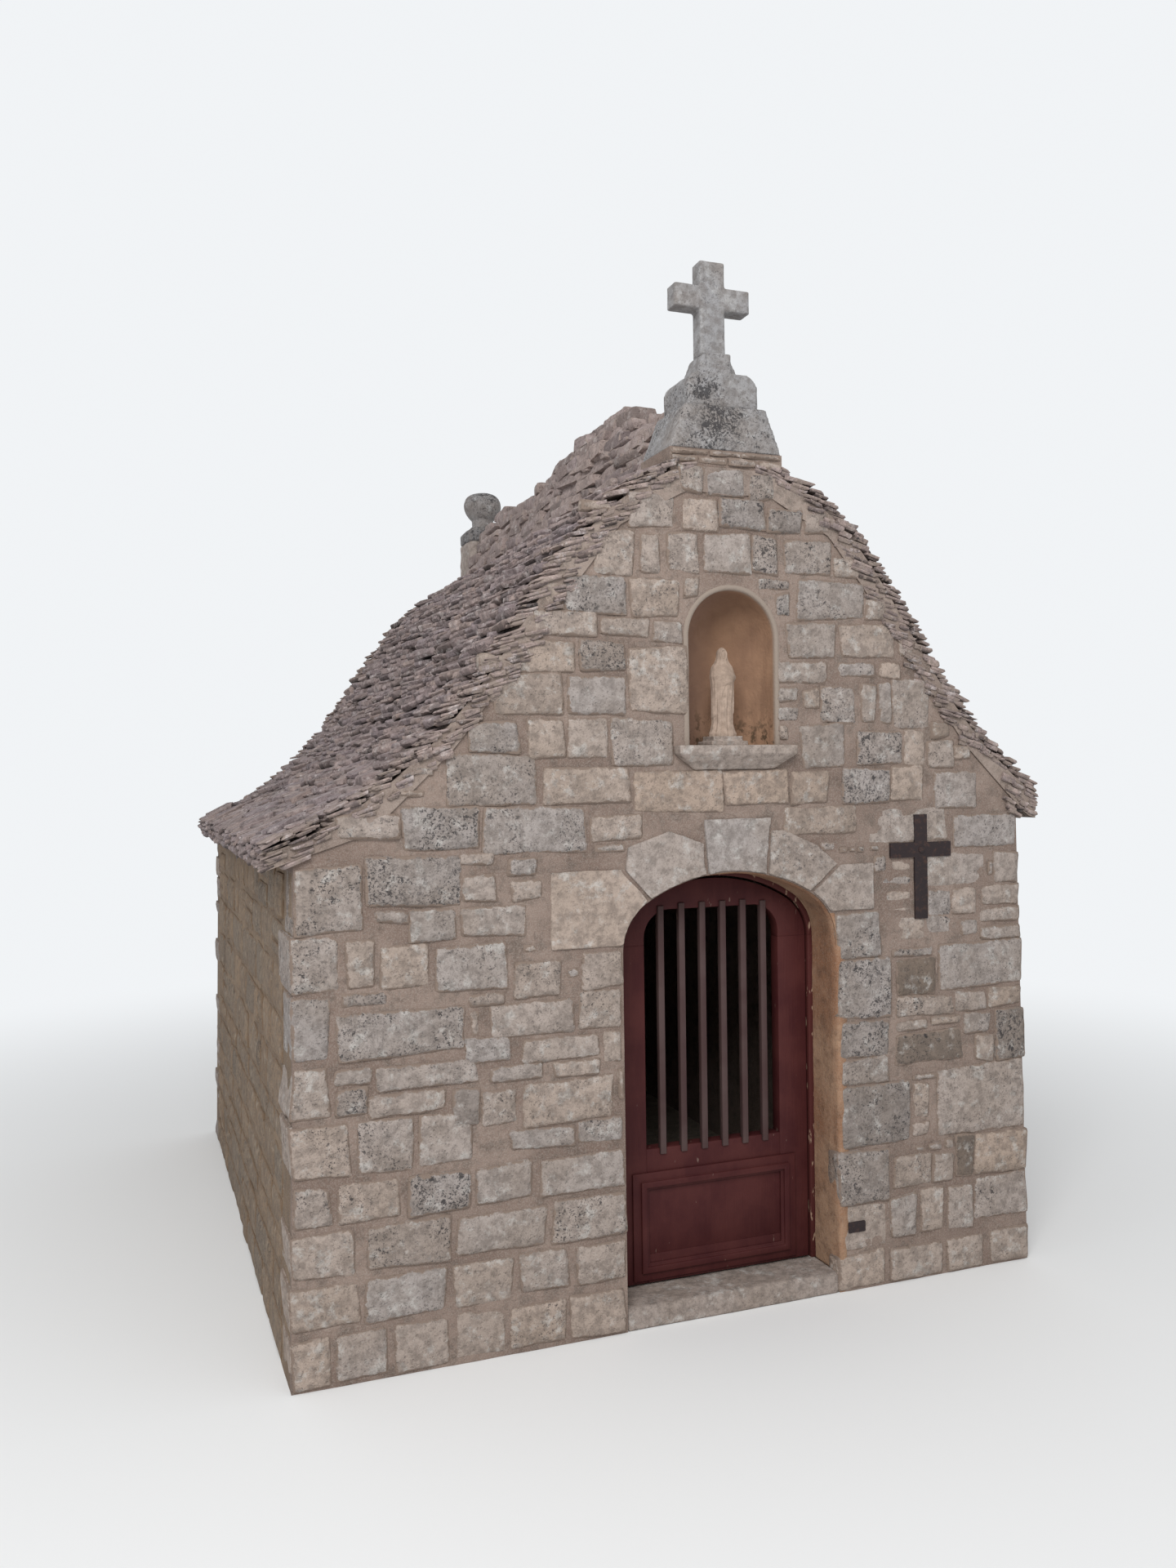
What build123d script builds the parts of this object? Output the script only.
"""Stone wayside shrine: a small rubble chapel with an arched door, a niche and a stone-slab roof.

Millimetres, +Z up, facade towards -Y. The origin is the middle of the footprint at the lowest ground.
"""
from build123d import *
import math
import os

# Overall building
WALL_WIDTH = 2586
WALL_BATTER = 30
BATTER_HEIGHT = 1600
BUILDING_DEPTH = 2900
WALL_THICKNESS = 400
FEATURE_AXIS = 132
GABLE_SEAT_Z = 1650

# Roof outline, from the ridge seat down each slope: run outwards, drop
RIDGE_SEAT_Z = 2800
RIDGE_SEAT_HALF = 190
SLOPE_STEPS = ((260, 140), (306, 385), (250, 330), (259, 225), (264, 128))
ROOF_THICKNESSES = (95, 95, 95, 95, 115, 72)
EAVE_OVERHANG = 104
VERGE_OVERHANG = 24
COURSE_COUNT = 14
COURSE_LIP = 14

# Doorway
DOORWAY_WIDTH = 790
DOORWAY_SPRING_Z = 1215
DOORWAY_RISE = 247
DOORWAY_SHOULDER = 190
REVEAL_DEPTH = 150
EMBRASURE_WIDENING = 60
EMBRASURE_TOP_Z = 1510
JAMB_WIDTH = 150
THRESHOLD_TOP_Z = 70
THRESHOLD_CHAMFER = 8
FLOOR_THICKNESS = 60
LINTEL_HEIGHT = 140
LINTEL_BEARING = 110

# Dressed stones of the arch: shares of the doorway's half width from its axis, and of its rise from the
# springing line. The doorway trims them, and each gives way to the stones before it
KEYSTONE = ((-0.23, 0.81), (0.32, 0.81), (0.38, 1.77), (-0.28, 1.77))
VOUSSOIR_LEFT = ((-1.0, 1.08), (-0.97, 1.42), (-0.59, 1.62), (-0.2, 1.4), (-0.2, 0.81), (-0.71, 0.59))
VOUSSOIR_RIGHT = ((0.25, 0.81), (0.25, 1.58), (0.51, 1.58), (0.83, 1.36), (1.05, 1.07), (0.71, 0.61))
SPRINGER_LEFT = ((-1.65, 0.08), (-1.65, 1.13), (-0.94, 1.13), (-0.73, 0.81), (-0.73, 0.08))
SPRINGER_RIGHT = ((1.41, 0.37), (1.41, 1.08), (0.96, 1.08), (0.7, 0.81), (0.7, 0.37))

# Door frame and leaf
FRAME_THICKNESS = 22
FRAME_DEPTH = 55
LEAF_GAP = 8
LEAF_THICKNESS = 50
STILE_WIDTH = 110
MIDDLE_RAIL_TOP_Z = 527
MIDDLE_RAIL_HEIGHT = 100
BOTTOM_RAIL_HEIGHT = 96
GRILLE_TOP_Z = 1332
GRILLE_CORNER = 95
BAR_SIZE = 22
BAR_PITCH = 78
BAR_COUNT = 6
BAR_LAP = 20
BAR_PROUD = 7
PANEL_THICKNESS = 18
MOULDING_WIDTH = 620
MOULDING_TOP_Z = 450
MOULDING_BOTTOM_Z = 88
MOULDING_BORDER = 58
MOULDING_THICKNESS = 8
BEAD_WIDTH = 20
BEAD_PROUD = 10
BEAD_INSET = 10

# Hinges
PIN_RADIUS = 6
PIN_CLEARANCE = 0.1
BARREL_RADIUS = 11
BARREL_HEIGHT = 60
BARREL_STANDOFF = 2
HINGE_PLATE_WIDTH = 70
HINGE_PLATE_THICKNESS = 6
LUG_RADIUS = 9
LUG_HEIGHT = 16
LUG_GAP = 0.3
LOWER_HINGE_Z = 300
UPPER_HINGE_Z = 1100

# Niche, sill and statue
NICHE_OFFSET = 10
NICHE_WIDTH = 322
NICHE_FLOOR_Z = 1882
NICHE_SPRING_Z = 2237
NICHE_STRAIGHT_DEPTH = 40
SILL_WIDTH = 434
SILL_BOTTOM_WIDTH = 298
SILL_SLAB = 28
SILL_BEVEL = 51
SILL_PROJECTION = 53
SILL_BOTTOM_PROJECTION = 10
SILL_TAIL = 60
PLINTH_WIDTH = 136
PLINTH_DEPTH = 110
PLINTH_STEP = 16
PLINTH_STEP_INSET = 14
STATUE_HEIGHT = 300
STATUE_WIDTH = 84
STATUE_DEPTH = 62
STATUE_OFFSET = 2
STATUE_SETBACK = 80

# Cross on the front gable
CROSS_BASE_RISE = 56
CROSS_BASE_WIDTH = 412
CROSS_BASE_TOP_WIDTH = 294
CROSS_BASE_HEIGHT = 150
CROSS_BASE_DEPTH = 240
PEDESTAL_WIDTH = 256
PEDESTAL_DEPTH = 200
PEDESTAL_SETBACK = 20
PEDESTAL_STAGE_HEIGHT = 116
PEDESTAL_SHOULDER = 50
PEDESTAL_NECK_WIDTH = 152
PEDESTAL_NECK_DEPTH = 130
PEDESTAL_NECK_HEIGHT = 74
PEDESTAL_TOP_WIDTH = 100
PEDESTAL_TOP_DEPTH = 92
PEDESTAL_SOCKET_PROUD = 10
CROSS_SHAFT = 92
CROSS_DEPTH = 65
CROSS_HEIGHT = 320
CROSS_ARM_SPAN = 280
CROSS_ARM_HEIGHT = 79
CROSS_HEAD = 84
CROSS_CHAMFER = 5

# Ridge capping, heights above the ridge seat at shares of its length, and the rear finial
CAPPING_CREST = ((0, 300), (0.16, 350), (0.3, 436), (0.42, 420), (0.6, 322), (1, 250))
CAPPING_SHOULDER_RUN = 0.62
CAPPING_SHOULDER_RISE = 0.62
FINIAL_OFFSET = -36
FINIAL_SETBACK = 112
FINIAL_PIER_HEIGHT = 243
FINIAL_BASE_WIDTH = 204
FINIAL_BASE_HEIGHT = 80
FINIAL_BASE_CHAMFER = 26
FINIAL_NECK_RADIUS = 57
FINIAL_NECK_HEIGHT = 46
FINIAL_HEAD_RADIUS = 99
FINIAL_HEAD_HEIGHT = 150

# Iron cross and plate on the facade
WALL_CROSS_X = 872
WALL_CROSS_BOTTOM_Z = 1269
WALL_CROSS_HEIGHT = 367
WALL_CROSS_SPAN = 252
WALL_CROSS_BAR = 52
WALL_CROSS_ARM_Z = 1512
WALL_CROSS_THICKNESS = 10
WALL_CROSS_BOSS = 11
PLATE_X = 593
PLATE_Z = 219
PLATE_WIDTH = 67
PLATE_HEIGHT = 36
PLATE_THICKNESS = 8

# Places that follow from the sizes above
HALF_WIDTH = WALL_WIDTH / 2
FACADE_Y = -BUILDING_DEPTH / 2
REAR_Y = BUILDING_DEPTH / 2
INNER_HALF = HALF_WIDTH - WALL_THICKNESS
FRONT_INNER_Y = FACADE_Y + WALL_THICKNESS
REAR_INNER_Y = REAR_Y - WALL_THICKNESS
EAVE_X = HALF_WIDTH + EAVE_OVERHANG
DOORWAY_HALF = DOORWAY_WIDTH / 2
DOOR_PLANE_Y = FACADE_Y + REVEAL_DEPTH
FRAME_REAR_Y = DOOR_PLANE_Y + FRAME_DEPTH
LEAF_INSET = FRAME_THICKNESS + LEAF_GAP
LEAF_HALF = DOORWAY_HALF - LEAF_INSET
LEAF_FRONT_Y = FRAME_REAR_Y - LEAF_THICKNESS
LEAF_BOTTOM_Z = THRESHOLD_TOP_Z + LEAF_GAP
GRILLE_HALF = LEAF_HALF - STILE_WIDTH
NICHE_X = FEATURE_AXIS + NICHE_OFFSET
NICHE_RADIUS = NICHE_WIDTH / 2
CROSS_BASE_Z = RIDGE_SEAT_Z + CROSS_BASE_RISE
FINIAL_SEAT_Z = RIDGE_SEAT_Z + FINIAL_PIER_HEIGHT
FINIAL_X = FEATURE_AXIS + FINIAL_OFFSET
FINIAL_Y = REAR_Y - FINIAL_SETBACK
FAR = 2 * (WALL_WIDTH + BUILDING_DEPTH)


def roof_outline():
    """Points of the roof's outer surface as distance from the axis and height, ridge seat first."""
    points = [(RIDGE_SEAT_HALF, RIDGE_SEAT_Z)]
    for run, drop in SLOPE_STEPS:
        distance, height = points[-1]
        points.append((distance + run, height - drop))
    return points


def underside_outline():
    """Points of the roof's underside: the outer points moved square to the slope, apex first."""
    outer = roof_outline()
    last = len(outer) - 1
    chain = [(0, RIDGE_SEAT_Z - ROOF_THICKNESSES[0])]
    for index, (distance, height) in enumerate(outer):
        before = outer[max(index - 1, 0)]
        after = outer[min(index + 1, last)]
        slope = math.atan2(before[1] - after[1], after[0] - before[0])
        thickness = ROOF_THICKNESSES[index]
        chain.append((distance - thickness * math.sin(slope), height - thickness * math.cos(slope)))
    far_x, far_z = chain[-1]
    near_x, near_z = chain[-2]
    steepness = (near_z - far_z) / (far_x - near_x)
    chain.append((far_x + EAVE_OVERHANG, far_z - EAVE_OVERHANG * steepness))
    return chain


def course_corners(side):
    """Corners of the outer skin: each course of slabs ends in a lip that stands over the next one."""
    skin = Spline(*side_points(roof_outline(), side))
    corners = side_points(roof_outline()[:1], side)
    for course in range(1, COURSE_COUNT + 1):
        nose = skin @ (course / COURSE_COUNT)
        downhill = skin % (course / COURSE_COUNT)
        corners.append((nose.X, nose.Y))
        if course < COURSE_COUNT:
            across = side * downhill.Y * COURSE_LIP
            upright = side * downhill.X * COURSE_LIP
            corners.append((nose.X + across, nose.Y - upright))
    return corners


def side_points(points, side):
    """The points of one slope in building coordinates: side is -1 for left and 1 for right."""
    return [(FEATURE_AXIS + side * distance, height) for distance, height in points]


def arch_lines(half_span, rise, shoulder, spring_z, foot_z):
    """Draw a closed basket-arch outline about the feature axis, from foot to crown."""
    flat_radius = ((half_span - shoulder) ** 2 + rise ** 2 - shoulder ** 2) / (2 * (rise - shoulder))
    flat_centre = rise - flat_radius
    joint_angle = math.atan2(-flat_centre, half_span - shoulder)
    middle_angle = joint_angle / 2
    joint_x = half_span - shoulder + shoulder * math.cos(joint_angle)
    joint_z = shoulder * math.sin(joint_angle)
    middle_x = half_span - shoulder + shoulder * math.cos(middle_angle)
    middle_z = shoulder * math.sin(middle_angle)
    axis = FEATURE_AXIS
    foot_right = (axis + half_span, foot_z)
    foot_left = (axis - half_span, foot_z)
    Line(foot_left, foot_right)
    Line(foot_right, (axis + half_span, spring_z))
    ThreePointArc(
        (axis + half_span, spring_z),
        (axis + middle_x, spring_z + middle_z),
        (axis + joint_x, spring_z + joint_z),
    )
    ThreePointArc(
        (axis + joint_x, spring_z + joint_z),
        (axis, spring_z + rise),
        (axis - joint_x, spring_z + joint_z),
    )
    ThreePointArc(
        (axis - joint_x, spring_z + joint_z),
        (axis - middle_x, spring_z + middle_z),
        (axis - half_span, spring_z),
    )
    Line((axis - half_span, spring_z), foot_left)


def doorway_sketch(plane, inset, foot_z):
    """The doorway's outline, made smaller all round by inset, or larger where inset is negative."""
    with BuildSketch(plane) as outline:
        with BuildLine():
            arch_lines(
                DOORWAY_HALF - inset,
                DOORWAY_RISE - inset,
                DOORWAY_SHOULDER - inset,
                DOORWAY_SPRING_Z,
                foot_z,
            )
        make_face()
    return outline.sketch


def polygon_sketch(plane, points):
    """A filled polygon on a plane."""
    with BuildSketch(plane) as outline:
        with BuildLine():
            Polyline(*points, close=True)
        make_face()
    return outline.sketch


def elevation(y):
    """Plane of an elevation at depth y: sketch x runs right, sketch y runs up, extrusion goes inwards."""
    return Plane(origin=(0, y, 0), x_dir=(1, 0, 0), z_dir=(0, -1, 0))


def batter_x(height):
    """Half width of the walls at a height."""
    return HALF_WIDTH + WALL_BATTER * (1 - height / BATTER_HEIGHT)


def below_roof_points(foot_z):
    """Outline of everything below the roof's underside, wider than the building."""
    left = side_points(underside_outline(), -1)
    right = side_points(underside_outline(), 1)
    return [(left[-1][0], foot_z)] + left[::-1] + right[1:] + [(right[-1][0], foot_z)]


def write_piece(piece, label):
    """Name a finished piece and write its STEP file."""
    piece.part.label = label
    export_step(piece.part, f"parts/{label}.step")


os.makedirs("parts", exist_ok=True)

# Masses that several pieces share: the space under the roof and the arch with its jambs
with BuildPart() as below_roof:
    outline = polygon_sketch(elevation(FACADE_Y - WALL_THICKNESS), below_roof_points(-WALL_THICKNESS))
    extrude(outline, amount=-(BUILDING_DEPTH + 2 * WALL_THICKNESS))

ARCH_STONE_DEPTH = REVEAL_DEPTH + FRAME_DEPTH


def arch_points(shares):
    """Building coordinates of an arch stone's outline, no higher than the gable's seat."""
    points = []
    for across, up in shares:
        height = min(DOORWAY_SPRING_Z + up * DOORWAY_RISE, GABLE_SEAT_Z)
        points.append((FEATURE_AXIS + across * DOORWAY_HALF, height))
    return points


def surround_stone(points, earlier):
    """One dressed stone: its outline trimmed by the doorway and by the stones before it."""
    with BuildPart() as stone:
        outline = polygon_sketch(elevation(FACADE_Y), points)
        extrude(outline, amount=-ARCH_STONE_DEPTH)
        outline = doorway_sketch(elevation(FACADE_Y), 0, 0)
        extrude(outline, amount=-ARCH_STONE_DEPTH, mode=Mode.SUBTRACT)
        for neighbour in earlier:
            add(neighbour.part, mode=Mode.SUBTRACT)
    return stone


keystone = surround_stone(arch_points(KEYSTONE), [])
voussoir_left = surround_stone(arch_points(VOUSSOIR_LEFT), [keystone])
voussoir_right = surround_stone(arch_points(VOUSSOIR_RIGHT), [keystone])
springer_left = surround_stone(arch_points(SPRINGER_LEFT), [voussoir_left])
springer_right = surround_stone(arch_points(SPRINGER_RIGHT), [voussoir_right])


def jamb(side, springer_shares):
    """Dressed jamb beside the doorway, from the ground to the springer that stands on it."""
    top_z = arch_points(springer_shares)[0][1]
    far = FEATURE_AXIS + side * (DOORWAY_HALF + JAMB_WIDTH)
    return surround_stone([(FEATURE_AXIS, 0), (far, 0), (far, top_z), (FEATURE_AXIS, top_z)], [])


jamb_left = jamb(-1, SPRINGER_LEFT)
jamb_right = jamb(1, SPRINGER_RIGHT)
SURROUND = (
    keystone,
    voussoir_left,
    voussoir_right,
    springer_left,
    springer_right,
    jamb_left,
    jamb_right,
)


def front_wall(side):
    """Front wall on one side of the doorway, with the splayed space for the leaf behind the jamb."""
    foot_x = side * batter_x(0)
    top_x = side * batter_x(GABLE_SEAT_Z)
    axis = FEATURE_AXIS
    embrasure_half = DOORWAY_HALF + EMBRASURE_WIDENING
    lintel_half = embrasure_half + LINTEL_BEARING
    lintel_top_z = EMBRASURE_TOP_Z + LINTEL_HEIGHT
    with BuildPart() as wall:
        outline = polygon_sketch(
            elevation(FACADE_Y),
            [(axis, 0), (foot_x, 0), (top_x, GABLE_SEAT_Z), (axis, GABLE_SEAT_Z)],
        )
        extrude(outline, amount=-WALL_THICKNESS)
        outline = doorway_sketch(elevation(FACADE_Y), 0, 0)
        extrude(outline, amount=-ARCH_STONE_DEPTH, mode=Mode.SUBTRACT)
        with BuildSketch(elevation(FRAME_REAR_Y)):
            with Locations((axis, EMBRASURE_TOP_Z / 2)):
                Rectangle(2 * embrasure_half, EMBRASURE_TOP_Z)
            with Locations((axis, EMBRASURE_TOP_Z + LINTEL_HEIGHT / 2)):
                Rectangle(2 * lintel_half, LINTEL_HEIGHT)
        extrude(amount=-WALL_THICKNESS, mode=Mode.SUBTRACT)
        for stone in SURROUND:
            add(stone.part, mode=Mode.SUBTRACT)
        add(below_roof.part, mode=Mode.INTERSECT)
    return wall


front_wall_left = front_wall(-1)
front_wall_right = front_wall(1)

# Stone lintel over the inner half of the doorway
with BuildPart() as inner_lintel:
    with BuildSketch(elevation(FRAME_REAR_Y)):
        with Locations((FEATURE_AXIS, EMBRASURE_TOP_Z + LINTEL_HEIGHT / 2)):
            Rectangle(2 * (DOORWAY_HALF + EMBRASURE_WIDENING + LINTEL_BEARING), LINTEL_HEIGHT)
    extrude(amount=-(FRONT_INNER_Y - FRAME_REAR_Y))

# Threshold and floor
with BuildPart() as threshold:
    with BuildSketch(Plane.XY):
        with Locations((FEATURE_AXIS, FACADE_Y + WALL_THICKNESS / 2)):
            Rectangle(DOORWAY_WIDTH, WALL_THICKNESS)
    extrude(amount=THRESHOLD_TOP_Z)
    chamfer(threshold.edges().filter_by(Axis.X).group_by(Axis.Z)[-1].sort_by(Axis.Y)[0], THRESHOLD_CHAMFER)

with BuildPart() as floor_slab:
    with BuildSketch(Plane.XY):
        Rectangle(2 * INNER_HALF, REAR_INNER_Y - FRONT_INNER_Y)
    extrude(amount=FLOOR_THICKNESS)


def side_wall(side):
    """Long wall between the gable walls, battered outside and running up to the roof's underside."""
    inner_x = side * INNER_HALF
    with BuildPart() as wall:
        outline = polygon_sketch(
            elevation(FRONT_INNER_Y),
            [
                (inner_x, 0),
                (side * batter_x(0), 0),
                (side * batter_x(RIDGE_SEAT_Z), RIDGE_SEAT_Z),
                (inner_x, RIDGE_SEAT_Z),
            ],
        )
        extrude(outline, amount=-(REAR_INNER_Y - FRONT_INNER_Y))
        add(below_roof.part, mode=Mode.INTERSECT)
    return wall


left_wall = side_wall(-1)
right_wall = side_wall(1)

# Rear wall and its gable
with BuildPart() as rear_wall:
    outline = polygon_sketch(
        elevation(REAR_INNER_Y),
        [
            (-batter_x(0), 0),
            (batter_x(0), 0),
            (batter_x(GABLE_SEAT_Z), GABLE_SEAT_Z),
            (-batter_x(GABLE_SEAT_Z), GABLE_SEAT_Z),
        ],
    )
    extrude(outline, amount=-WALL_THICKNESS)
    add(below_roof.part, mode=Mode.INTERSECT)


def gable_points():
    """Triangle-like outline of a gable, cut later by the roof's underside."""
    top = RIDGE_SEAT_Z
    return [
        (-batter_x(GABLE_SEAT_Z), GABLE_SEAT_Z),
        (batter_x(GABLE_SEAT_Z), GABLE_SEAT_Z),
        (batter_x(top), top),
        (-batter_x(top), top),
    ]


with BuildPart() as rear_gable:
    outline = polygon_sketch(elevation(REAR_INNER_Y), gable_points())
    extrude(outline, amount=-WALL_THICKNESS)
    add(below_roof.part, mode=Mode.INTERSECT)

# Front gable: the apex pier carries the cross, the niche is a round-backed recess with a domed head
with BuildPart() as front_gable:
    outline = polygon_sketch(elevation(FACADE_Y), gable_points())
    extrude(outline, amount=-WALL_THICKNESS)
    add(below_roof.part, mode=Mode.INTERSECT)
    with BuildSketch(Plane.XY.offset(GABLE_SEAT_Z + NICHE_WIDTH)):
        with Locations((FEATURE_AXIS, FACADE_Y + CROSS_BASE_DEPTH / 2)):
            Rectangle(CROSS_BASE_WIDTH, CROSS_BASE_DEPTH)
    extrude(amount=CROSS_BASE_Z - GABLE_SEAT_Z - NICHE_WIDTH)
    with BuildSketch(elevation(FACADE_Y)):
        with Locations((NICHE_X, (NICHE_FLOOR_Z + NICHE_SPRING_Z) / 2)):
            Rectangle(NICHE_WIDTH, NICHE_SPRING_Z - NICHE_FLOOR_Z)
        with Locations((NICHE_X, NICHE_SPRING_Z)):
            Circle(NICHE_RADIUS)
    extrude(amount=-NICHE_STRAIGHT_DEPTH, mode=Mode.SUBTRACT)
    with BuildSketch(Plane.XY.offset(NICHE_FLOOR_Z)):
        with Locations((NICHE_X, FACADE_Y + NICHE_STRAIGHT_DEPTH)):
            Circle(NICHE_RADIUS)
    extrude(amount=NICHE_SPRING_Z - NICHE_FLOOR_Z, mode=Mode.SUBTRACT)
    with Locations((NICHE_X, FACADE_Y + NICHE_STRAIGHT_DEPTH, NICHE_SPRING_Z)):
        Sphere(NICHE_RADIUS, mode=Mode.SUBTRACT)
    with BuildSketch(elevation(FACADE_Y)):
        with Locations((NICHE_X, NICHE_FLOOR_Z - (SILL_SLAB + SILL_BEVEL) / 2)):
            Rectangle(SILL_BOTTOM_WIDTH, SILL_SLAB + SILL_BEVEL)
    extrude(amount=-SILL_TAIL, mode=Mode.SUBTRACT)

# Sill slab on a bevelled bracket, tailed into the wall
with BuildPart() as niche_sill:
    with BuildSketch(Plane.XY.offset(NICHE_FLOOR_Z - SILL_SLAB)):
        with Locations((NICHE_X, FACADE_Y - SILL_PROJECTION / 2)):
            Rectangle(SILL_WIDTH, SILL_PROJECTION)
    extrude(amount=SILL_SLAB)
    with BuildSketch(Plane.XY.offset(NICHE_FLOOR_Z - SILL_SLAB)):
        with Locations((NICHE_X, FACADE_Y - SILL_PROJECTION / 2)):
            Rectangle(SILL_WIDTH, SILL_PROJECTION)
    with BuildSketch(Plane.XY.offset(NICHE_FLOOR_Z - SILL_SLAB - SILL_BEVEL)):
        with Locations((NICHE_X, FACADE_Y - SILL_BOTTOM_PROJECTION / 2)):
            Rectangle(SILL_BOTTOM_WIDTH, SILL_BOTTOM_PROJECTION)
    loft()
    with BuildSketch(elevation(FACADE_Y)):
        with Locations((NICHE_X, NICHE_FLOOR_Z - (SILL_SLAB + SILL_BEVEL) / 2)):
            Rectangle(SILL_BOTTOM_WIDTH, SILL_SLAB + SILL_BEVEL)
    extrude(amount=-SILL_TAIL)

STATUE_X = NICHE_X + STATUE_OFFSET
STATUE_Y = FACADE_Y + STATUE_SETBACK
STATUE_FOOT_Z = NICHE_FLOOR_Z + 2 * PLINTH_STEP

# Two-step plinth on the niche floor
with BuildPart() as statue_plinth:
    for step in range(2):
        with BuildSketch(Plane.XY.offset(NICHE_FLOOR_Z + step * PLINTH_STEP)):
            with Locations((STATUE_X, STATUE_Y)):
                Rectangle(PLINTH_WIDTH - 2 * step * PLINTH_STEP_INSET,
                          PLINTH_DEPTH - 2 * step * PLINTH_STEP_INSET)
        extrude(amount=PLINTH_STEP)

# Veiled standing figure: height share, width share and depth share of each section of robe, mantle and veil
FIGURE_SECTIONS = (
    (0.00, 1.12, 1.06),
    (0.06, 1.06, 1.00),
    (0.14, 0.90, 0.88),
    (0.30, 0.86, 0.84),
    (0.55, 0.90, 0.92),
    (0.68, 1.00, 1.04),
    (0.76, 0.92, 0.92),
    (0.83, 0.68, 0.76),
    (0.89, 0.48, 0.64),
    (0.94, 0.45, 0.64),
)
CROWN_RADIUS_SHARE = 0.064
with BuildPart() as statue:
    for height_share, width_share, depth_share in FIGURE_SECTIONS:
        with BuildSketch(Plane.XY.offset(STATUE_FOOT_Z + STATUE_HEIGHT * height_share)):
            with Locations((STATUE_X, STATUE_Y)):
                Ellipse(STATUE_WIDTH * width_share / 2, STATUE_DEPTH * depth_share / 2)
    loft()
    crown_radius = STATUE_HEIGHT * CROWN_RADIUS_SHARE
    with Locations((STATUE_X, STATUE_Y, STATUE_FOOT_Z + STATUE_HEIGHT - crown_radius)):
        Sphere(crown_radius)


ROOF_LENGTH = BUILDING_DEPTH + 2 * VERGE_OVERHANG


def roof_slope(side):
    """One curved slope of slab courses, from the ridge to the eave, open where the cross stands."""
    under = side_points(underside_outline(), side)
    section = [(FEATURE_AXIS, RIDGE_SEAT_Z)] + course_corners(side) + under[::-1]
    with BuildPart() as slope:
        outline = polygon_sketch(elevation(FACADE_Y - VERGE_OVERHANG), section)
        extrude(outline, amount=-ROOF_LENGTH)
        eave_cut = [(side * EAVE_X, 0), (side * FAR, 0), (side * FAR, FAR), (side * EAVE_X, FAR)]
        outline = polygon_sketch(elevation(FACADE_Y - VERGE_OVERHANG), eave_cut)
        extrude(outline, amount=-ROOF_LENGTH, mode=Mode.SUBTRACT)
        with BuildSketch(Plane.XY.offset(GABLE_SEAT_Z)):
            with Locations((FEATURE_AXIS, FACADE_Y + CROSS_BASE_DEPTH - FAR / 2)):
                Rectangle(CROSS_BASE_WIDTH, FAR)
        extrude(amount=FAR, mode=Mode.SUBTRACT)
    return slope


roof_left = roof_slope(-1)
roof_right = roof_slope(1)


def capping_section(y, crown_z):
    """Upright section of the ridge capping: steep sides and a round back on the flat ridge seat."""
    rise = crown_z - RIDGE_SEAT_Z
    shoulder_x = RIDGE_SEAT_HALF * CAPPING_SHOULDER_RUN
    shoulder_z = RIDGE_SEAT_Z + rise * CAPPING_SHOULDER_RISE
    left_foot = (FEATURE_AXIS - RIDGE_SEAT_HALF, RIDGE_SEAT_Z)
    right_foot = (FEATURE_AXIS + RIDGE_SEAT_HALF, RIDGE_SEAT_Z)
    with BuildSketch(elevation(y)) as section:
        with BuildLine():
            Line(left_foot, right_foot)
            Spline(
                right_foot,
                (FEATURE_AXIS + shoulder_x, shoulder_z),
                (FEATURE_AXIS, crown_z),
                (FEATURE_AXIS - shoulder_x, shoulder_z),
                left_foot,
            )
        make_face()
    return section.sketch


# Mortared ridge capping from the cross base to the finial's pier, highest a little behind the cross
CAPPING_FRONT_Y = FACADE_Y + CROSS_BASE_DEPTH
CAPPING_REAR_Y = FINIAL_Y - FINIAL_BASE_WIDTH / 2
CAPPING_LENGTH = CAPPING_REAR_Y - CAPPING_FRONT_Y
with BuildPart() as ridge_capping:
    loft(
        [
            capping_section(CAPPING_FRONT_Y + share * CAPPING_LENGTH, RIDGE_SEAT_Z + rise)
            for share, rise in CAPPING_CREST
        ]
    )

# Mortared pier on the rear end of the ridge, under the finial
with BuildPart() as finial_pier:
    with BuildSketch(Plane.XY.offset(RIDGE_SEAT_Z)):
        with Locations((FINIAL_X, FINIAL_Y)):
            Rectangle(FINIAL_BASE_WIDTH, FINIAL_BASE_WIDTH)
    extrude(amount=FINIAL_PIER_HEIGHT)

# Cross base on the apex pier
with BuildPart() as cross_base:
    base_half = CROSS_BASE_WIDTH / 2
    base_top_half = CROSS_BASE_TOP_WIDTH / 2
    base_top_z = CROSS_BASE_Z + CROSS_BASE_HEIGHT
    outline = polygon_sketch(
        elevation(FACADE_Y),
        [
            (FEATURE_AXIS - base_half, CROSS_BASE_Z),
            (FEATURE_AXIS + base_half, CROSS_BASE_Z),
            (FEATURE_AXIS + base_top_half, base_top_z),
            (FEATURE_AXIS - base_top_half, base_top_z),
        ],
    )
    extrude(outline, amount=-CROSS_BASE_DEPTH)

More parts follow.
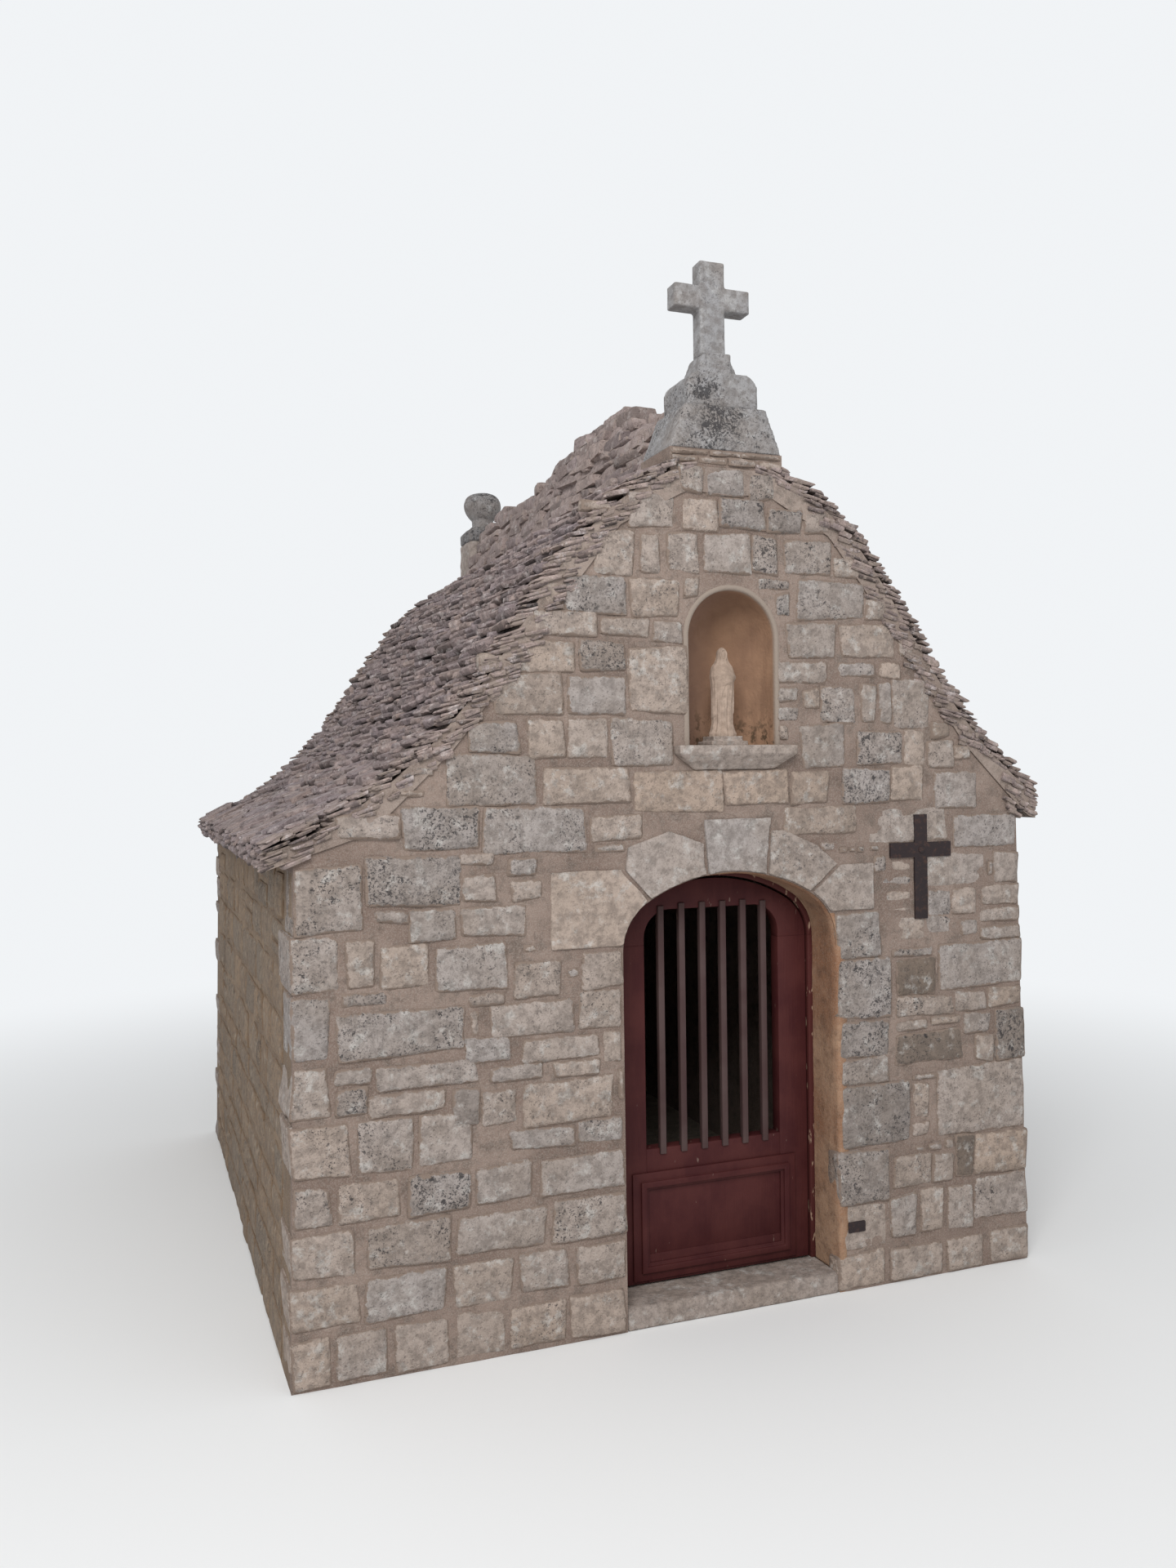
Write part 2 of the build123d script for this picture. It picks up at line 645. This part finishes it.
# Pedestal in two stages with rounded shoulders
PEDESTAL_Y = FACADE_Y + PEDESTAL_SETBACK + PEDESTAL_DEPTH / 2
with BuildPart() as cross_pedestal:
    with BuildSketch(Plane.XY.offset(base_top_z)):
        with Locations((FEATURE_AXIS, PEDESTAL_Y)):
            Rectangle(PEDESTAL_WIDTH, PEDESTAL_DEPTH)
    extrude(amount=PEDESTAL_STAGE_HEIGHT)
    fillet(cross_pedestal.edges().filter_by(Axis.Y).group_by(Axis.Z)[-1], PEDESTAL_SHOULDER)
    neck_z = base_top_z + PEDESTAL_STAGE_HEIGHT
    with BuildSketch(Plane.XY.offset(neck_z)):
        with Locations((FEATURE_AXIS, PEDESTAL_Y)):
            Rectangle(PEDESTAL_NECK_WIDTH, PEDESTAL_NECK_DEPTH)
    with BuildSketch(Plane.XY.offset(neck_z + PEDESTAL_NECK_HEIGHT)):
        with Locations((FEATURE_AXIS, PEDESTAL_Y)):
            Rectangle(PEDESTAL_TOP_WIDTH, PEDESTAL_TOP_DEPTH)
    loft()
    with BuildSketch(Plane.XY.offset(neck_z)):
        with Locations((FEATURE_AXIS, PEDESTAL_Y - PEDESTAL_SOCKET_PROUD)):
            Rectangle(CROSS_SHAFT, PEDESTAL_NECK_DEPTH)
    extrude(amount=PEDESTAL_NECK_HEIGHT)

# Latin cross of stone
CROSS_FOOT_Z = neck_z + PEDESTAL_NECK_HEIGHT
CROSS_ARM_Z = CROSS_FOOT_Z + CROSS_HEIGHT - CROSS_HEAD - CROSS_ARM_HEIGHT / 2
with BuildPart() as stone_cross:
    with BuildSketch(elevation(PEDESTAL_Y - CROSS_DEPTH / 2)):
        with Locations((FEATURE_AXIS, CROSS_FOOT_Z + CROSS_HEIGHT / 2)):
            Rectangle(CROSS_SHAFT, CROSS_HEIGHT)
        with Locations((FEATURE_AXIS, CROSS_ARM_Z)):
            Rectangle(CROSS_ARM_SPAN, CROSS_ARM_HEIGHT)
    extrude(amount=-CROSS_DEPTH)
    chamfer(stone_cross.faces().sort_by(Axis.Y)[0].edges(), CROSS_CHAMFER)

# Finial on the rear gable: base block, neck and mushroom head
with BuildPart() as finial_base:
    with BuildSketch(Plane.XY.offset(FINIAL_SEAT_Z)):
        with Locations((FINIAL_X, FINIAL_Y)):
            Rectangle(FINIAL_BASE_WIDTH, FINIAL_BASE_WIDTH)
    extrude(amount=FINIAL_BASE_HEIGHT)
    chamfer(finial_base.faces().sort_by(Axis.Z)[-1].edges(), FINIAL_BASE_CHAMFER)

with BuildPart() as rear_finial:
    foot = FINIAL_SEAT_Z + FINIAL_BASE_HEIGHT
    head_foot = foot + FINIAL_NECK_HEIGHT
    head_top = head_foot + FINIAL_HEAD_HEIGHT
    with BuildSketch(Plane(origin=(FINIAL_X, FINIAL_Y, 0), x_dir=(1, 0, 0), z_dir=(0, -1, 0))):
        with BuildLine():
            Line((0, foot), (FINIAL_NECK_RADIUS, foot))
            Line((FINIAL_NECK_RADIUS, foot), (FINIAL_NECK_RADIUS, head_foot))
            Spline(
                (FINIAL_NECK_RADIUS, head_foot),
                (FINIAL_HEAD_RADIUS, (head_foot + head_top) / 2),
                (0, head_top),
                tangents=((1, 1), (-1, 0)),
            )
            Line((0, head_top), (0, foot))
        make_face()
    revolve(axis=Axis((FINIAL_X, FINIAL_Y, 0), (0, 0, 1)))

# Iron cross and small bare plate on the facade
with BuildPart() as wall_cross:
    with BuildSketch(elevation(FACADE_Y - WALL_CROSS_THICKNESS)):
        with Locations((WALL_CROSS_X, WALL_CROSS_BOTTOM_Z + WALL_CROSS_HEIGHT / 2)):
            Rectangle(WALL_CROSS_BAR, WALL_CROSS_HEIGHT)
        with Locations((WALL_CROSS_X, WALL_CROSS_ARM_Z)):
            Rectangle(WALL_CROSS_SPAN, WALL_CROSS_BAR)
    extrude(amount=-WALL_CROSS_THICKNESS)
    with BuildSketch(elevation(FACADE_Y - WALL_CROSS_THICKNESS)):
        with Locations((WALL_CROSS_X, WALL_CROSS_ARM_Z)):
            Circle(WALL_CROSS_BOSS)
    extrude(amount=WALL_CROSS_THICKNESS / 2)

with BuildPart() as wall_plate:
    with BuildSketch(elevation(FACADE_Y - PLATE_THICKNESS)):
        with Locations((PLATE_X, PLATE_Z)):
            RectangleRounded(PLATE_WIDTH, PLATE_HEIGHT, PLATE_THICKNESS / 2)
    extrude(amount=-PLATE_THICKNESS)

# Fixed door frame: a thin flat lining in the doorway, two posts and an arched head
with BuildPart() as frame_ring:
    outline = doorway_sketch(elevation(DOOR_PLANE_Y), 0, THRESHOLD_TOP_Z)
    extrude(outline, amount=-FRAME_DEPTH)
    outline = doorway_sketch(elevation(DOOR_PLANE_Y), FRAME_THICKNESS, THRESHOLD_TOP_Z)
    extrude(outline, amount=-FRAME_DEPTH, mode=Mode.SUBTRACT)


def frame_piece(low_x, high_x, low_z, high_z):
    """The stretch of the frame inside a box of the elevation."""
    with BuildPart() as stretch:
        add(frame_ring.part)
        corners = [(low_x, low_z), (high_x, low_z), (high_x, high_z), (low_x, high_z)]
        outline = polygon_sketch(elevation(DOOR_PLANE_Y), corners)
        extrude(outline, amount=-FRAME_DEPTH, mode=Mode.INTERSECT)
    return stretch


left_edge = FEATURE_AXIS - DOORWAY_WIDTH
right_edge = FEATURE_AXIS + DOORWAY_WIDTH
frame_post_left = frame_piece(left_edge, FEATURE_AXIS, 0, DOORWAY_SPRING_Z)
frame_post_right = frame_piece(FEATURE_AXIS, right_edge, 0, DOORWAY_SPRING_Z)
frame_head = frame_piece(left_edge, right_edge, DOORWAY_SPRING_Z, FAR)

BAR_FRONT_Y = LEAF_FRONT_Y - BAR_PROUD
BAR_XS = [FEATURE_AXIS + (index - (BAR_COUNT - 1) / 2) * BAR_PITCH for index in range(BAR_COUNT)]


def grille_top(x):
    """Height of the grille opening's upper edge at x, where its corners are rounded."""
    into_corner = abs(x - FEATURE_AXIS) - (GRILLE_HALF - GRILLE_CORNER)
    if into_corner <= 0:
        return GRILLE_TOP_Z
    return GRILLE_TOP_Z - GRILLE_CORNER + math.sqrt(GRILLE_CORNER ** 2 - into_corner ** 2)


# Square bars let into the front of the head and the middle rail
with BuildPart() as door_bars:
    for bar_x in BAR_XS:
        low_z = MIDDLE_RAIL_TOP_Z - BAR_LAP
        high_z = grille_top(bar_x) + BAR_LAP
        with BuildSketch(elevation(BAR_FRONT_Y)):
            with Locations((bar_x, (low_z + high_z) / 2)):
                Rectangle(BAR_SIZE, high_z - low_z)
        extrude(amount=-BAR_SIZE)

with BuildPart() as leaf_blank:
    outline = doorway_sketch(elevation(LEAF_FRONT_Y), LEAF_INSET, LEAF_BOTTOM_Z)
    extrude(outline, amount=-LEAF_THICKNESS)
    with BuildSketch(elevation(LEAF_FRONT_Y)):
        with Locations((FEATURE_AXIS, (MIDDLE_RAIL_TOP_Z + GRILLE_TOP_Z) / 2)):
            Rectangle(2 * GRILLE_HALF, GRILLE_TOP_Z - MIDDLE_RAIL_TOP_Z)
        grille_corners = vertices().group_by(Axis.Z)[-1]
        fillet(grille_corners, GRILLE_CORNER)
    extrude(amount=-LEAF_THICKNESS, mode=Mode.SUBTRACT)
    add(door_bars.part, mode=Mode.SUBTRACT)


def leaf_piece(low_x, high_x, low_z, high_z):
    """The stretch of the leaf inside a box of the elevation."""
    with BuildPart() as stretch:
        add(leaf_blank.part)
        corners = [(low_x, low_z), (high_x, low_z), (high_x, high_z), (low_x, high_z)]
        outline = polygon_sketch(elevation(LEAF_FRONT_Y), corners)
        extrude(outline, amount=-LEAF_THICKNESS, mode=Mode.INTERSECT)
    return stretch


GRILLE_LEFT = FEATURE_AXIS - GRILLE_HALF
GRILLE_RIGHT = FEATURE_AXIS + GRILLE_HALF
MIDDLE_RAIL_BOTTOM_Z = MIDDLE_RAIL_TOP_Z - MIDDLE_RAIL_HEIGHT
BOTTOM_RAIL_TOP_Z = LEAF_BOTTOM_Z + BOTTOM_RAIL_HEIGHT
door_stile_left = leaf_piece(left_edge, GRILLE_LEFT, 0, DOORWAY_SPRING_Z)
door_stile_right = leaf_piece(GRILLE_RIGHT, right_edge, 0, DOORWAY_SPRING_Z)
door_head = leaf_piece(left_edge, right_edge, DOORWAY_SPRING_Z, FAR)
door_middle_rail = leaf_piece(GRILLE_LEFT, GRILLE_RIGHT, MIDDLE_RAIL_BOTTOM_Z, MIDDLE_RAIL_TOP_Z)
door_bottom_rail = leaf_piece(GRILLE_LEFT, GRILLE_RIGHT, 0, BOTTOM_RAIL_TOP_Z)

# Lower panel between the rails
with BuildPart() as door_panel:
    with BuildSketch(elevation(LEAF_FRONT_Y)):
        with Locations((FEATURE_AXIS, (BOTTOM_RAIL_TOP_Z + MIDDLE_RAIL_BOTTOM_Z) / 2)):
            Rectangle(2 * GRILLE_HALF, MIDDLE_RAIL_BOTTOM_Z - BOTTOM_RAIL_TOP_Z)
    extrude(amount=-PANEL_THICKNESS)

# Moulding planted on the leaf around the lower panel, with an outer and an inner bead
MOULDING_HEIGHT = MOULDING_TOP_Z - MOULDING_BOTTOM_Z
MOULDING_MIDDLE_Z = (MOULDING_TOP_Z + MOULDING_BOTTOM_Z) / 2


def ring_sketch(y, outset):
    """A rectangular band one bead wide, outset inside the moulding's edge."""
    with BuildSketch(elevation(y)) as ring:
        with Locations((FEATURE_AXIS, MOULDING_MIDDLE_Z)):
            Rectangle(MOULDING_WIDTH - 2 * outset, MOULDING_HEIGHT - 2 * outset)
            inner = outset + BEAD_WIDTH
            Rectangle(
                MOULDING_WIDTH - 2 * inner,
                MOULDING_HEIGHT - 2 * inner,
                mode=Mode.SUBTRACT,
            )
    return ring.sketch


with BuildPart() as panel_moulding:
    with BuildSketch(elevation(LEAF_FRONT_Y)):
        with Locations((FEATURE_AXIS, MOULDING_MIDDLE_Z)):
            Rectangle(MOULDING_WIDTH, MOULDING_HEIGHT)
            Rectangle(
                MOULDING_WIDTH - 2 * MOULDING_BORDER,
                MOULDING_HEIGHT - 2 * MOULDING_BORDER,
                mode=Mode.SUBTRACT,
            )
    extrude(amount=MOULDING_THICKNESS)
    bead_y = LEAF_FRONT_Y - MOULDING_THICKNESS
    outline = ring_sketch(bead_y, MOULDING_BORDER - BEAD_WIDTH - BEAD_INSET)
    extrude(outline, amount=BEAD_PROUD)

# Hinge axis just behind the right edge of the leaf
HINGE_X = FEATURE_AXIS + LEAF_HALF + LEAF_GAP / 2
HINGE_Y = FRAME_REAR_Y + BARREL_RADIUS + BARREL_STANDOFF
HINGE_ZS = (LOWER_HINGE_Z, UPPER_HINGE_Z)
PLATE_MIDDLE_X = FEATURE_AXIS + LEAF_HALF - HINGE_PLATE_WIDTH / 2

# Plates with rolled barrels on the back of the leaf
with BuildPart() as hinge_straps:
    for hinge_z in HINGE_ZS:
        with BuildSketch(Plane.XY.offset(hinge_z)):
            with Locations((PLATE_MIDDLE_X, FRAME_REAR_Y + HINGE_PLATE_THICKNESS / 2)):
                Rectangle(HINGE_PLATE_WIDTH, HINGE_PLATE_THICKNESS)
            with Locations((HINGE_X, HINGE_Y)):
                Circle(BARREL_RADIUS)
                Circle(PIN_RADIUS + PIN_CLEARANCE, mode=Mode.SUBTRACT)
        extrude(amount=BARREL_HEIGHT)

# Pintles on the back of the frame, each a lug with an upright pin
with BuildPart() as hinge_pintles:
    for hinge_z in HINGE_ZS:
        lug_z = hinge_z - LUG_GAP - LUG_HEIGHT
        frame_right_x = FEATURE_AXIS + DOORWAY_HALF
        with BuildSketch(Plane.XY.offset(lug_z)):
            with Locations((HINGE_X, HINGE_Y)):
                Circle(LUG_RADIUS)
            with Locations(((HINGE_X + frame_right_x) / 2, (FRAME_REAR_Y + HINGE_Y + LUG_RADIUS) / 2)):
                Rectangle(frame_right_x - HINGE_X, HINGE_Y + LUG_RADIUS - FRAME_REAR_Y)
        extrude(amount=LUG_HEIGHT)
        with BuildSketch(Plane.XY.offset(lug_z)):
            with Locations((HINGE_X, HINGE_Y)):
                Circle(PIN_RADIUS)
        extrude(amount=LUG_HEIGHT + LUG_GAP + BARREL_HEIGHT)

PIECES = {
    "front_wall_left": front_wall_left,
    "front_wall_right": front_wall_right,
    "front_gable": front_gable,
    "arch_keystone": keystone,
    "arch_voussoir_left": voussoir_left,
    "arch_voussoir_right": voussoir_right,
    "arch_springer_left": springer_left,
    "arch_springer_right": springer_right,
    "jamb_left": jamb_left,
    "jamb_right": jamb_right,
    "inner_lintel": inner_lintel,
    "threshold": threshold,
    "floor_slab": floor_slab,
    "left_wall": left_wall,
    "right_wall": right_wall,
    "rear_wall": rear_wall,
    "rear_gable": rear_gable,
    "niche_sill": niche_sill,
    "statue_plinth": statue_plinth,
    "statue": statue,
    "roof_left": roof_left,
    "roof_right": roof_right,
    "ridge_capping": ridge_capping,
    "cross_base": cross_base,
    "cross_pedestal": cross_pedestal,
    "stone_cross": stone_cross,
    "finial_pier": finial_pier,
    "finial_base": finial_base,
    "rear_finial": rear_finial,
    "wall_cross": wall_cross,
    "wall_plate": wall_plate,
    "frame_post_left": frame_post_left,
    "frame_post_right": frame_post_right,
    "frame_head": frame_head,
    "hinge_pintles": hinge_pintles,
    "door_stile_left": door_stile_left,
    "door_stile_right": door_stile_right,
    "door_head": door_head,
    "door_middle_rail": door_middle_rail,
    "door_bottom_rail": door_bottom_rail,
    "door_panel": door_panel,
    "panel_moulding": panel_moulding,
    "door_bars": door_bars,
    "hinge_straps": hinge_straps,
}
for piece_label, finished_piece in PIECES.items():
    write_piece(finished_piece, piece_label)
